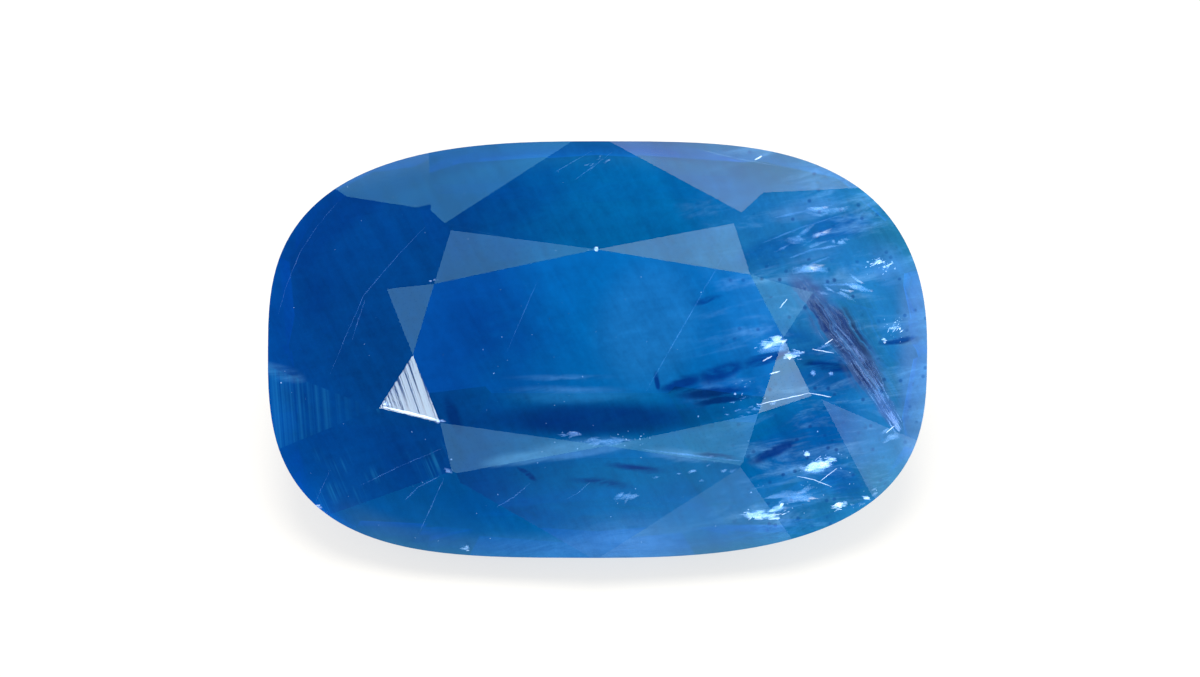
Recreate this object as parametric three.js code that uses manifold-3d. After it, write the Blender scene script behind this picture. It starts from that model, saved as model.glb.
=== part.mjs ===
// A loose cushion-cut blue sapphire with a brilliant crown and a keeled pavilion, lying on one long pavilion facet.
// It is cut as a lapidary cuts it: an outline preform, then one flat cut for each facet. Millimetres, +Z up.
import * as THREE from "three";
import { mergeVertices } from "three/addons/utils/BufferGeometryUtils.js";
import Module from "manifold-3d";

const wasm = await Module();
wasm.setup();

// Driving dimensions of the stone, in its cutting frame: table up, length along X, girdle edge at height 0
const LENGTH = 10.0;
const WIDTH = 6.32;
const CROWN_HEIGHT = 1.1;
const GIRDLE_THICKNESS = 0.34;
const KEEL_DEPTH = 2.9;
const CULET_TRIM = 0.1; // how much of the sharp keel is polished flat
const OUTLINE_STEPS = 144;

// How square each corner of the outline is, read along the stone and across it: 2 would be an ellipse
const CORNERS = {
  farRight: { along: 3.4, across: 2.4 },
  farLeft: { along: 2.8, across: 2.9 },
  nearLeft: { along: 3.6, across: 2.9 },
  nearRight: { along: 2.6, across: 3.1 },
};

// Crown: the table's corners as [x, y], anticlockwise from the far side's middle, with a star on each edge
const STAR_TILT = 17;
const TABLE_CORNERS = [
  [-0.01, 1.51], [-2.46, 0.99], [-2.78, -0.08], [-2.37, -1.1],
  [0.13, -1.45], [2.42, -0.96], [2.8, 0.18], [2.3, 1.13],
];

// The crown mains, one at each table corner, in the same order, with their bearings in degrees from +X
const CROWN_MAINS = [
  { bearing: 91.5, tilt: 33 },
  { bearing: 130.5, tilt: 26.5 },
  { bearing: 178.5, tilt: 25.7 },
  { bearing: 227.3, tilt: 27 },
  { bearing: 271.5, tilt: 32 },
  { bearing: 314.3, tilt: 29 },
  { bearing: 360, tilt: 26 },
  { bearing: 409, tilt: 27.5 },
];

// Break facets, in pairs between two mains. Each shares a straight edge with its main, between two points
// [x, y] of that main, and both slope down to the same corner of the girdle. The near left has only one.
const CROWN_BREAKS = [
  { corner: [-2.56, 2.98, 0.05], edges: [[[-2.33, 1.89], [-0.43, 3.13]], [[-2.48, 2.09], [-4.11, 2.36]]] },
  { corner: [-4.79, 1.42, -0.11], edges: [[[-3.2, 0.9], [-4.33, 2.21]], [[-3.2, 0.9], [-4.98, 0.57]]] },
  { corner: [-4.77, -1.37, 0.13], edges: [[[-3.35, -0.89], [-4.98, -0.26]]] },
  { corner: [-2.77, -2.89, 0], edges: [[[-2.3, -1.87], [-3.94, -2.46]], [[-2.25, -1.9], [-0.31, -3.03]]] },
  { corner: [2.93, -2.84, -0.02], edges: [[[2.17, -1.77], [0.07, -3.13]], [[2.19, -1.71], [4.1, -2.21]]] },
  { corner: [4.76, -1.34, -0.04], edges: [[[3.36, -0.71], [4.1, -2.1]], [[3.39, -0.71], [4.94, -0.08]]] },
  { corner: [4.72, 1.49, -0.09], edges: [[[3.27, 0.9], [4.98, 0.48]], [[3.27, 0.9], [4.22, 2.29]]] },
  { corner: [2.65, 3, 0.08], edges: [[[2.48, 2.37], [3.91, 2.45]], [[2.27, 2.02], [0.25, 3.12]]] },
];

// Pavilion: the keel's line and its mains, each with a bearing, a tilt and the keel end that it passes through
const KEEL_Y = -0.54;
const KEEL_WEST = [-1.55, KEEL_Y];
const KEEL_EAST = [1.0, KEEL_Y];
const REST_TILT = 38; // the near main, which the stone lies on
const PAVILION_MAINS = [
  { bearing: 90, tilt: 30, through: KEEL_WEST },
  { bearing: 270, tilt: REST_TILT, through: KEEL_WEST },
  { bearing: 180, tilt: 31, through: KEEL_WEST },
  { bearing: 0, tilt: 29, through: KEEL_EAST },
  { bearing: 138, tilt: 31.5, through: KEEL_WEST },
  { bearing: 48, tilt: 29.5, through: KEEL_EAST },
  { bearing: 222, tilt: 36, through: KEEL_WEST },
  { bearing: 315, tilt: 35, through: KEEL_EAST },
];
const PAVILION_BREAKS = { count: 20, tilt: 54 };

// Small chips out of the girdle: where they are round the outline, their height and their size
const CHIPS = [
  { turn: 245.5, height: -0.02, size: 0.09 },
  { turn: 318, height: -0.05, size: 0.07 },
  { turn: 225, height: -0.03, size: 0.05 },
];

const { degToRad } = THREE.MathUtils;

function cornerAt(turn) {
  const names = ["farRight", "farLeft", "nearLeft", "nearRight"];
  return CORNERS[names[Math.floor(THREE.MathUtils.euclideanModulo(turn, 360) / 90)]];
}

// The outline's point at a turn from +X: a superellipse whose two powers change from corner to corner
function outlinePoint(turn) {
  const { along, across } = cornerAt(turn);
  const c = Math.cos(degToRad(turn));
  const s = Math.sin(degToRad(turn));
  return new THREE.Vector2(
    (Math.sign(c) * LENGTH * Math.abs(c) ** (2 / along)) / 2,
    (Math.sign(s) * WIDTH * Math.abs(s) ** (2 / across)) / 2,
  );
}

function toManifold(geometry) {
  const bare = geometry.clone().deleteAttribute("normal").deleteAttribute("uv");
  const merged = mergeVertices(bare, 1e-5);
  return new wasm.Manifold(
    new wasm.Mesh({
      numProp: 3,
      vertProperties: new Float32Array(merged.attributes.position.array),
      triVerts: new Uint32Array(merged.index.array),
    }),
  );
}

function toGeometry(solid) {
  const { vertProperties, triVerts } = solid.getMesh();
  const geometry = new THREE.BufferGeometry();
  geometry.setAttribute("position", new THREE.BufferAttribute(vertProperties, 3));
  geometry.setIndex(new THREE.BufferAttribute(triVerts, 1));
  const flat = geometry.toNonIndexed();
  flat.computeVertexNormals();
  return flat;
}

// The preform: the girdle outline as an upright bar, taller than the finished stone
function makePreform() {
  const outline = new THREE.Shape(
    Array.from({ length: OUTLINE_STEPS }, (_, i) => outlinePoint((i * 360) / OUTLINE_STEPS)),
  );
  const below = KEEL_DEPTH + 1;
  const above = CROWN_HEIGHT + 1;
  const bar = new THREE.ExtrudeGeometry(outline, { depth: below + above, bevelEnabled: false });
  return toManifold(bar.translate(0, 0, -below));
}

// Takes off everything on the outer side of a plane, as a grinding lap does
function cutFacet(solid, plane) {
  const size = 4 * LENGTH;
  const lap = new THREE.BoxGeometry(size, size, size).translate(0, 0, size / 2);
  const turn = new THREE.Quaternion().setFromUnitVectors(new THREE.Vector3(0, 0, 1), plane.normal);
  const foot = plane.normal.clone().multiplyScalar(-plane.constant);
  lap.applyQuaternion(turn).translate(foot.x, foot.y, foot.z);
  return solid.subtract(toManifold(lap));
}

function heightOn(plane, [x, y]) {
  return -(plane.normal.x * x + plane.normal.y * y + plane.constant) / plane.normal.z;
}

// A plane through three points, with its normal turned up for the crown
function planeThrough(a, b, c) {
  const plane = new THREE.Plane().setFromCoplanarPoints(a, b, c);
  return plane.normal.z < 0 ? plane.negate() : plane;
}

// A plane facing a bearing, tilted from level by an angle and passing through a point; side is 1 up, -1 down
function tiltedPlane(bearing, tilt, point, side) {
  const out = Math.sin(degToRad(tilt));
  const normal = new THREE.Vector3(
    out * Math.cos(degToRad(bearing)),
    out * Math.sin(degToRad(bearing)),
    side * Math.cos(degToRad(tilt)),
  );
  return new THREE.Plane().setFromNormalAndCoplanarPoint(normal, point);
}

// The eight stars slope down from the table's edges
function makeStars() {
  return TABLE_CORNERS.map((corner, i) => {
    const from = new THREE.Vector2(...corner);
    const to = new THREE.Vector2(...TABLE_CORNERS[(i + 1) % TABLE_CORNERS.length]);
    const edge = to.clone().sub(from);
    const bearing = THREE.MathUtils.radToDeg(Math.atan2(-edge.x, edge.y));
    return tiltedPlane(bearing, STAR_TILT, new THREE.Vector3(from.x, from.y, CROWN_HEIGHT), 1);
  });
}

function makeCrownMains() {
  return CROWN_MAINS.map(({ bearing, tilt }, i) =>
    tiltedPlane(bearing, tilt, new THREE.Vector3(...TABLE_CORNERS[i], CROWN_HEIGHT), 1),
  );
}

function makeCrownBreaks(mains) {
  return CROWN_BREAKS.flatMap(({ corner, edges }, i) =>
    edges.map((edge, later) => {
      const main = mains[(i + later) % mains.length];
      const [start, end] = edge.map((xy) => new THREE.Vector3(...xy, heightOn(main, xy)));
      return planeThrough(start, end, new THREE.Vector3(...corner));
    }),
  );
}

function makePavilionMains() {
  return PAVILION_MAINS.map(({ bearing, tilt, through }) =>
    tiltedPlane(bearing, tilt, new THREE.Vector3(...through, -KEEL_DEPTH), -1),
  );
}

// Steep break facets under the girdle, each along a chord of the outline
function makePavilionBreaks() {
  const { count, tilt } = PAVILION_BREAKS;
  return Array.from({ length: count }, (_, i) => {
    const from = outlinePoint((i * 360) / count);
    const edge = outlinePoint(((i + 1) * 360) / count).sub(from);
    const bearing = THREE.MathUtils.radToDeg(Math.atan2(-edge.x, edge.y));
    return tiltedPlane(bearing, tilt, new THREE.Vector3(from.x, from.y, -GIRDLE_THICKNESS), -1);
  });
}

function chipGirdle(solid) {
  return CHIPS.reduce((left, { turn, height, size }) => {
    const at = outlinePoint(turn);
    const flake = new THREE.IcosahedronGeometry(size).translate(at.x, at.y, height);
    return left.subtract(toManifold(flake));
  }, solid);
}

function makeStone() {
  const crownMains = makeCrownMains();
  const table = tiltedPlane(0, 0, new THREE.Vector3(0, 0, CROWN_HEIGHT), 1);
  const culet = tiltedPlane(0, 0, new THREE.Vector3(0, 0, CULET_TRIM - KEEL_DEPTH), -1);
  const facets = [
    table,
    ...makeStars(),
    ...crownMains,
    ...makeCrownBreaks(crownMains),
    ...makePavilionBreaks(),
    ...makePavilionMains(),
    culet,
  ];
  return chipGirdle(facets.reduce(cutFacet, makePreform()));
}

const sapphireBlue = new THREE.MeshStandardMaterial({
  color: 0x1f62b8,
  roughness: 0.03,
  metalness: 0,
  transparent: true,
  opacity: 0.85,
});

const stone = new THREE.Mesh(toGeometry(makeStone()), sapphireBlue);
stone.name = "sapphire";

// Laid down: tipping the table forward by the near main's tilt sets that facet level underneath
stone.rotation.x = degToRad(REST_TILT);
stone.updateMatrixWorld(true);
const laid = new THREE.Box3().setFromObject(stone, true);
const middle = laid.getCenter(new THREE.Vector3());
stone.position.set(-middle.x, -middle.y, -laid.min.z);

const sapphire = new THREE.Group();
sapphire.name = "loose_sapphire";
sapphire.add(stone);

export default sapphire;
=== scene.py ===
import math
import random
import bmesh
import bpy
from mathutils import Matrix, Vector
from mathutils.bvhtree import BVHTree


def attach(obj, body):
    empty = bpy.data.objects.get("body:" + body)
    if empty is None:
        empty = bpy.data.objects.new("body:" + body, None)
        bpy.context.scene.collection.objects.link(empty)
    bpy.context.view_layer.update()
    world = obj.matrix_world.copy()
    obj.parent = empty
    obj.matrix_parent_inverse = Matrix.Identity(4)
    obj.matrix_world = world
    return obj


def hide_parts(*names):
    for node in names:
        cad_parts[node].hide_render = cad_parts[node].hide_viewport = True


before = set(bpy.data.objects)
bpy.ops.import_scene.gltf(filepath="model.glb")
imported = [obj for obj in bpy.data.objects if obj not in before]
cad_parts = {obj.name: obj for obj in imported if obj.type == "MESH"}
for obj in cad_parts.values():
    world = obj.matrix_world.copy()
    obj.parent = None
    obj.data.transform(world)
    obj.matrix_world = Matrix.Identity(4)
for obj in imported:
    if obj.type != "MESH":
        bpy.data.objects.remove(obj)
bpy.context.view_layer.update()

mm = 0.001

# How the stone lies: the cutting frame has the table up, the scene has the long pavilion main on the floor.
# back and up are where the cutting frame's origin, the middle of the girdle, then is in mm
lay = {"tilt": math.radians(38), "back": 0.1084, "up": 2.6177}

# Where the photograph looks, in its own pixels
photo = {
    "columns": 1200,
    "rows": 677,
    "stoneColumn": 597.5,  # the middle of the girdle outline
    "stoneRow": 349.5,
    "pixel": 0.01517,  # mm on the girdle plane
}

sapphireIndex = 1.77


def turned(x, v, h):
    # a direction in the cutting frame, as it lies in the scene
    s, c = math.sin(lay["tilt"]), math.cos(lay["tilt"])
    return Vector((x, v * c - h * s, v * s + h * c))


def laid(x, v, h):
    # a point in the cutting frame in mm, as it lies in the scene in metres
    return (turned(x, v, h) + Vector((0, -lay["back"], lay["up"]))) * mm


# how far up the table's slope the middle of the girdle lies, in mm
girdleRise = lay["up"] * math.sin(lay["tilt"]) - lay["back"] * math.cos(lay["tilt"])


class Value:
    # one socket, so that shader maths can be written as plain sums
    def __init__(self, desk, socket):
        self.desk = desk
        self.socket = socket

    def maths(self, operation, first, second):
        return self.desk.node("ShaderNodeMath", {"operation": operation}, {0: first, 1: second})

    def __add__(self, other):
        return self.maths("ADD", self, other)

    __radd__ = __add__

    def __sub__(self, other):
        return self.maths("SUBTRACT", self, other)

    def __rsub__(self, other):
        return self.maths("SUBTRACT", other, self)

    def __mul__(self, other):
        return self.maths("MULTIPLY", self, other)

    __rmul__ = __mul__

    def __truediv__(self, other):
        return self.maths("DIVIDE", self, other)

    def __pow__(self, other):
        return self.maths("POWER", self, other)

    def clamped(self):
        return self.maths("MINIMUM", self.maths("MAXIMUM", self, 0.0), 1.0)

    def eased(self, start, end):
        # 0 at start and 1 at end, smooth between; start may be the larger of the two
        return self.desk.node(
            "ShaderNodeMapRange",
            {"interpolation_type": "SMOOTHSTEP", "clamp": True},
            {"Value": self, "From Min": start, "From Max": end},
        )


class Desk:
    # a node tree being laid out
    def __init__(self, owner):
        owner.use_nodes = True
        self.tree = owner.node_tree
        self.tree.nodes.clear()

    def node(self, kind, settings=None, sockets=None, output=0):
        made = self.tree.nodes.new(kind)
        for name, setting in (settings or {}).items():
            setattr(made, name, setting)
        for name, given in (sockets or {}).items():
            if isinstance(given, Value):
                self.tree.links.new(given.socket, made.inputs[name])
            else:
                made.inputs[name].default_value = given
        return Value(self, made.outputs[output]) if made.outputs else None

    def dot(self, a, b):
        return self.node("ShaderNodeVectorMath", {"operation": "DOT_PRODUCT"}, {0: a, 1: b}, "Value")

    def mixColours(self, factor, a, b, blend="MIX"):
        settings = {"data_type": "RGBA", "blend_type": blend}
        return self.node("ShaderNodeMix", settings, {0: factor, 6: a, 7: b}, 2)

    def cloud(self, place, look, dimensions="2D"):
        # a noise texture; look holds its Scale, Detail, Roughness and Distortion
        socket = "W" if dimensions == "1D" else "Vector"
        return self.node("ShaderNodeTexNoise", {"noise_dimensions": dimensions}, {socket: place, **look})

    def mark(self, name):
        # a number kept on the mesh
        return self.node("ShaderNodeAttribute", {"attribute_name": name}, output="Fac")


def put(name, data):
    # a new object in the scene
    made = bpy.data.objects.new(name, data)
    bpy.context.scene.collection.objects.link(made)
    return made


# Camera: square to the table, from as far off as a long macro lens. viewWidth, across and along are in mm on
# the girdle plane; the last two are where the middle of the picture is
cameraSet = {"lens": 300, "sensor": 36, "viewWidth": 18.2, "across": 0.038, "along": 0.167}


def placeCamera():
    data = bpy.data.cameras.new("macroCamera")
    data.lens = cameraSet["lens"]
    data.sensor_width = cameraSet["sensor"]
    distance = cameraSet["viewWidth"] * cameraSet["lens"] / cameraSet["sensor"]
    data.clip_start = distance * mm / 20
    data.clip_end = 10
    made = put("macroCamera", data)
    right, up, back = turned(1, 0, 0), turned(0, 1, 0), turned(0, 0, 1)
    spot = laid(cameraSet["across"], cameraSet["along"], 0) + back * distance * mm
    rows = zip(right, up, back, spot)
    made.matrix_world = Matrix([list(r) for r in rows] + [[0, 0, 0, 1]])
    bpy.context.scene.camera = made
    return spot


cameraSpot = placeCamera()
print("camera placed")

# Studio light: every soft box is far off, so it is painted on the world.
# Two panels hang side by side round one axis. left, right, low and high are tangents off it, and the edge is
# how soft their sides are
panelAxis = {"ahead": (0, 0.766, 0.643), "up": (0, -0.643, 0.766)}
panelEdge = 0.015
panels = {
    "farRight": {"left": -0.012, "right": 1.3, "low": -0.45, "high": 0.37, "light": (1.1, 1.1, 0.85)},
    "farLeft": {"left": -1.3, "right": -0.012, "low": -0.45, "high": 0.37, "light": (0.3, 1.05, 1.25)},
}
ringLight = {"inner": 29, "outer": 41, "edge": 1.5, "light": (0.4, 1.0, 1.2)}  # degrees off the camera's axis
# Small soft boxes, each hung where one facet mirrors it to the camera. facet is the tilt and bearing of that
# facet, and reach and edge are in degrees
lamps = {
    "overhead": {"facet": (17, 81), "reach": 7.5, "edge": 1.0, "light": (0.6, 0.4, 0.1)},
    "right": {"facet": (17, -18), "reach": 6, "edge": 1.0, "light": (1.2, 1.0, 0.5)},
    "key": {"facet": (17, -158), "reach": 9, "edge": 2.0, "light": (5.7, 6.2, 6.2)},
    "nearFill": {"facet": (37.4, -82), "reach": 11, "edge": 1.5, "light": (0.4, 0.7, 0.8)},
    "nearLeft": {"facet": (38.1, -102), "reach": 8, "edge": 1.0, "light": (0.0, 0.28, 0.45)},
    "nearRight": {"facet": (30.3, -37), "reach": 5, "edge": 1.0, "light": (0.55, 0.7, 0.9)},
}
# What the pavilion mirrors from behind and below: the pale surface, brighter in two broad places
behind = {"start": 86, "full": 105, "light": (0.22, 0.25, 0.30)}  # degrees off the camera's axis
behindLamps = [
    {"aim": (0.75, 0.35, -0.56), "reach": 24, "edge": 6, "light": (0.7, 0.75, 0.8)},
    {"aim": (-0.55, 0.80, -0.25), "reach": 18, "edge": 4, "light": (0.9, 0.95, 1.0)},
    {"aim": (-0.80, 0.30, -0.52), "reach": 14, "edge": 3, "light": (0.5, 0.6, 0.7)},
]
ambient = 0.012  # what is mirrored between the soft boxes
tent = 0.9  # what all but mirror rays see


def lightStudio():
    world = bpy.data.worlds.new("studio")
    bpy.context.scene.world = world
    desk = Desk(world)
    toward = desk.node("ShaderNodeTexCoord", output="Generated")
    ahead = desk.dot(toward, Vector(panelAxis["ahead"]))
    across = desk.dot(toward, Vector((1, 0, 0))) / ahead
    up = desk.dot(toward, Vector(panelAxis["up"])) / ahead
    lights = []
    for panel in panels.values():
        inside = ahead.eased(0, 0.01)  # not behind as well
        for tangent, side, way in (
            (across, panel["left"], 1),
            (across, panel["right"], -1),
            (up, panel["low"], 1),
            (up, panel["high"], -1),
        ):
            inside = inside * tangent.eased(side - panelEdge * way, side + panelEdge * way)
        lights.append((inside, panel["light"]))
    onAxis = desk.dot(toward, turned(0, 0, 1))
    outer = capMask(onAxis, ringLight["outer"], ringLight["edge"])
    inner = capMask(onAxis, ringLight["inner"], ringLight["edge"])
    lights.append((outer * (1 - inner), ringLight["light"]))
    for lamp in lamps.values():
        tilt, bearing = map(math.radians, lamp["facet"])
        out = math.sin(2 * tilt)
        aim = turned(out * math.cos(bearing), out * math.sin(bearing), math.cos(2 * tilt))
        facing = desk.dot(toward, aim)
        lights.append((capMask(facing, lamp["reach"], lamp["edge"]), lamp["light"]))
    back = onAxis.eased(math.cos(math.radians(behind["start"])), math.cos(math.radians(behind["full"])))
    lights.append((back, behind["light"]))
    for lamp in behindLamps:
        facing = desk.dot(toward, Vector(lamp["aim"]).normalized())
        lights.append((capMask(facing, lamp["reach"], lamp["edge"]) * back, lamp["light"]))
    mirrorLight = (ambient, ambient, ambient, 1)
    for mask, shine in lights:
        mirrorLight = desk.mixColours(mask, mirrorLight, (*shine, 1), "ADD")
    # the soft boxes are what polished faces mirror; all else is lit by an even white tent
    mirrored = desk.node("ShaderNodeLightPath", output="Is Reflection Ray")
    mirrored = mirrored * desk.node("ShaderNodeLightPath", output="Is Glossy Ray")
    light = desk.mixColours(mirrored, (tent, tent, tent, 1), mirrorLight)
    glow = desk.node("ShaderNodeBackground", sockets={"Color": light, "Strength": 1.0})
    desk.node("ShaderNodeOutputWorld", sockets={"Surface": glow})


def capMask(facing, reach, edge):
    # 1 within some degrees of a direction
    return facing.eased(math.cos(math.radians(reach + edge)), math.cos(math.radians(reach - edge)))


lightStudio()
print("studio lit")

# The floor is a white light panel with a matt top
floorSet = {"half": 400, "drop": 0.01, "glow": 0.68, "matt": (0.30, 0.285, 0.25)}  # half and drop in mm
softBox = {"height": 300, "across": 130, "watts": 0.6}  # hangs over the stone and gives it its shadow; in mm


def layFloor():
    mesh = bpy.data.meshes.new("floor")
    r = floorSet["half"] * mm
    mesh.from_pydata([(-r, -r, 0), (r, -r, 0), (r, r, 0), (-r, r, 0)], [], [(0, 1, 2, 3)])
    floor = put("floor", mesh)
    floor.location.z = -floorSet["drop"] * mm
    paint = bpy.data.materials.new("lightPanel")
    desk = Desk(paint)
    top = desk.node("ShaderNodeBsdfPrincipled", sockets={
        "Base Color": (*floorSet["matt"], 1), "Roughness": 1.0, "Specular IOR Level": 0.0,
        "Emission Color": (1, 1, 1, 1), "Emission Strength": floorSet["glow"]})
    desk.node("ShaderNodeOutputMaterial", sockets={"Surface": top})
    mesh.materials.append(paint)
    floor.visible_glossy = False  # keeps the crown's mirror reflections dark, as a black card would


def hangSoftBox():
    data = bpy.data.lights.new("softBox", "AREA")
    data.shape = "DISK"
    data.size = softBox["across"] * mm
    data.energy = softBox["watts"]
    box = put("softBox", data)
    box.location.z = softBox["height"] * mm
    box.visible_glossy = False
    box.visible_transmission = False


layFloor()
hangSoftBox()
print("floor laid")

# The stone itself. Its haze is a painted glow: an emission on the crystal's surface stands in for the light
# that its fine silk scatters; it grows from left to right
sapphire = {
    "weld": 0.0002,  # mm
    "flat": 0.35,  # degrees: faces nearer than this to one plane are one facet
    "edge": 0.006,  # mm of wear along the facet edges
    "sharp": 5,  # degrees between facets from which an edge is worn
    "matchTilt": 1.2,  # degrees off the angles in polished that still are that facet
    "matchBearing": 3,
    "halfLength": 5.0,  # mm
    "halfWidth": 3.15,
    "absorb": 2400,  # per metre in red
    "tint": (0.0, 0.54, 0.775),  # what green and blue keep of that
    # the colours from here on are of the painted glow that the crystal's surface emits
    "paintedGlowLeft": (0.0, 0.051, 0.205),
    "paintedGlowMiddle": (0.0, 0.118, 0.30),
    "paintedGlowLower": (0.0, 0.130, 0.370),
    "paintedGlowRight": (0.016, 0.182, 0.41),
    "paintedGlowFarRight": (0.022, 0.235, 0.52),
    "rim": (0.012, 0.118, 0.20),
    "rimNear": (0.022, 0.078, 0.138),
    "rimRight": (0.085, 0.205, 0.41),
    "shade": (0.0, 0.026, 0.135),
    "deep": (0.0, 0.080, 0.275),
    "veil": (0.046, 0.20, 0.43),
    "veinGround": (0.062, 0.135, 0.30),
    "veinDark": (0.014, 0.030, 0.085),
    "glint": (0.10, 0.18, 0.33),
    "milkyGlow": (0.11, 0.33, 0.62),
    "streak": (0.012, 0.19, 0.43),
}

# The painted glow in layers, each over the one before. An edge says what it is measured by, where the layer
# starts to show and where it shows in full. x and v are in mm on the girdle plane, along is x with a wavering
# edge, and oval and cushion are 0 in the middle and about 1 at the girdle. The rim layers set the painted
# glow's colour near the girdle, and the last layer is painted shade along the left and middle of the far rim
paintedGlowLayers = [
    {"colour": "paintedGlowMiddle", "edges": [("along", -2.3, 0.5)]},
    {"colour": "paintedGlowLower", "edges": [("along", 0.9, 3.4)]},
    {"colour": "paintedGlowRight", "edges": [("along", 1.3, 3.3), ("v", -1.2, 0.8)]},
    {"colour": "paintedGlowFarRight", "edges": [("x", 3.5, 4.3), ("v", 0.5, -0.7)], "share": 0.7},
    {"colour": "rim", "edges": [("oval", 0.70, 1.02), ("along", -4.5, 1.5)], "share": 0.8},
    {"colour": "rimNear", "share": 0.8,
     "edges": [("cushion", 0.70, 0.93), ("v", -1.9, -2.6), ("x", -4.3, -3.2), ("x", 3.0, 1.4)]},
    {"colour": "rimRight", "edges": [("x", 4.45, 4.75), ("v", 1.5, 0.9), ("v", -1.9, -1.4)], "share": 0.8},
    {"colour": "shade", "edges": [("oval", 0.84, 0.97), ("v", 0.6, 1.6), ("x", 2.4, 0.6)], "share": 0.6},
]

# The noises that break the painted glow up
clouds = {
    "drift": {"Scale": 0.9, "Detail": 4.0, "Roughness": 0.6, "Distortion": 0.6},
    "silk": {"Scale": 2.9, "Detail": 8.0, "Roughness": 0.68, "Distortion": 0.35},
    "fibre": {"Scale": 9.0, "Detail": 4.0, "Roughness": 0.75},
    "bands": {"Scale": 2.6, "Detail": 6.0, "Roughness": 0.72},
    "mottle": {"Scale": 6.0, "Detail": 6.0, "Roughness": 0.8},
}
# How the silk, the growth bands and the vein's fibres lie: across is the way over them, and a small drawnOut
# makes them long
silkLie = {"slope": 0.18, "drawnOut": 0.20}
bandLie = {"across": (0.87, 0.49), "drawnOut": 0.10}
fibreLie = {"across": (0.82, 0.57), "waver": 0.25}
# How far the drift pushes the layers' edges, and the drift and the silk the strokes, in mm
push = {"along": 1.4, "torn": 0.15, "tornUp": 0.22}
# How much each noise adds to the painted glow's brightness
ripples = {"even": 0.18, "silk": 0.42, "bands": 0.68, "mottle": 0.54}
# Milky streaks of brighter painted glow and dark grains: the part of the silk's noise and of the stone's length
# where they show
milkyGlowStreaks = {"silk": (0.48, 0.78), "along": (1.0, 3.0), "share": 0.8}
grains = {"scale": 3.4, "size": (0.14, 0.05), "along": (0.8, 3.0), "silk": (0.42, 0.58), "share": 0.6}

# Facets that still show how they were polished: tilt and bearing in the cutting frame,
# the way across their lines, and the lines' fineness
polished = {
    "starLines": {"tilt": 17, "bearing": -158, "across": (1.0, 0.35), "fine": 12.0},
    "breakLines": {"tilt": 26.2, "bearing": -178, "across": (1.0, 0.08), "fine": 9.0},
    "mainLines": {"tilt": 27, "bearing": -133, "across": (1.0, 0.42), "fine": 9.0},
}

# How those lines show: as grooves in the surface, as pale scores in the painted glow, and on the star facet as
# a painted highlight. line, fade and patch are each where something starts and where it is full
polishLines = {"Detail": 2.0, "Roughness": 0.75}
polishPatches = {"Scale": 1500.0, "Detail": 1.0}
scoresAndGlints = {
    "break": {"line": (0.36, 0.80), "fade": (-4.6, -3.6), "faded": 0.85, "least": 0.35},
    "main": {"line": (0.46, 0.70), "patch": (0.44, 0.60), "share": 0.8},
    "star": {"line": (0.46, 0.58), "share": 0.6},
    "share": 0.62,
    "groove": 0.01,  # mm
    "strength": 0.35,
}

# Darker and lighter places in the painted glow, from one pixel to another; half is in mm. A group with grain
# shows only in that part of the silk's or the fibres' noise, the others show evenly with a little of the silk.
# The shade strokes and the belly's shade are painted shade over the left end and along the belly, with thin
# dark wisps
strokeShape = {"wide": 1.35, "full": 0.62}
shadeStrokes = {
    "grain": (0.28, 0.50), "share": 0.92,
    "strokes": [
        {"from": (658, 390), "to": (705, 376), "half": 0.09},
        {"from": (698, 379), "to": (745, 364), "half": 0.11},
        {"from": (738, 367), "to": (794, 348), "half": 0.10},
        {"from": (672, 394), "to": (752, 389), "half": 0.08},
        {"from": (690, 403), "to": (752, 397), "half": 0.07},
        {"from": (656, 372), "to": (659, 391), "half": 0.04},
        {"from": (690, 305), "to": (722, 297), "half": 0.05, "share": 0.8},
        {"from": (792, 362), "to": (862, 371), "half": 0.07},
        {"from": (745, 462), "to": (800, 438), "half": 0.08},
        {"from": (448, 398), "to": (462, 434), "half": 0.10},
        {"from": (878, 344), "to": (915, 337), "half": 0.045},
        {"from": (518, 466), "to": (537, 480), "half": 0.035},
        {"from": (600, 462), "to": (668, 470), "half": 0.06, "share": 0.7},
        {"from": (690, 452), "to": (735, 458), "half": 0.05, "share": 0.8},
        {"from": (560, 478), "to": (640, 486), "half": 0.07, "share": 0.6},
        {"from": (480, 280), "to": (520, 350), "half": 0.75, "share": 0.32},
        {"from": (385, 430), "to": (415, 480), "half": 0.45, "share": 0.32},
        {"from": (300, 330), "to": (335, 250), "half": 0.50, "share": 0.32},
        {"from": (268, 270), "to": (272, 352), "half": 0.38, "share": 0.35},
        {"from": (282, 440), "to": (305, 478), "half": 0.30, "share": 0.3},
    ],
}
bellyShade = {
    "even": 0.62, "silk": 0.5,
    "strokes": [{"from": (465, 420), "to": (725, 418), "half": 0.27}],
}
deepStrokes = {
    "grain": (0.22, 0.60), "share": 0.85,
    "strokes": [
        {"from": (668, 402), "to": (750, 393), "half": 0.28},
        {"from": (742, 262), "to": (800, 243), "half": 0.22},
        {"from": (800, 235), "to": (868, 222), "half": 0.20},
        {"from": (790, 370), "to": (868, 372), "half": 0.30},
        {"from": (770, 330), "to": (840, 372), "half": 0.25},
        {"from": (755, 450), "to": (850, 425), "half": 0.40},
        {"from": (825, 470), "to": (862, 492), "half": 0.22},
    ],
}
glowStrokes = {
    "even": 0.25, "silk": 0.5,
    "strokes": [
        {"from": (500, 396), "to": (660, 396), "half": 0.13, "share": 0.8},
        {"from": (660, 290), "to": (640, 360), "half": 0.75},
        {"from": (700, 260), "to": (735, 240), "half": 0.35},
        {"from": (780, 205), "to": (850, 190), "half": 0.40},
        {"from": (745, 500), "to": (835, 485), "half": 0.24},
        {"from": (862, 410), "to": (895, 460), "half": 0.35},
    ],
}
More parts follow.
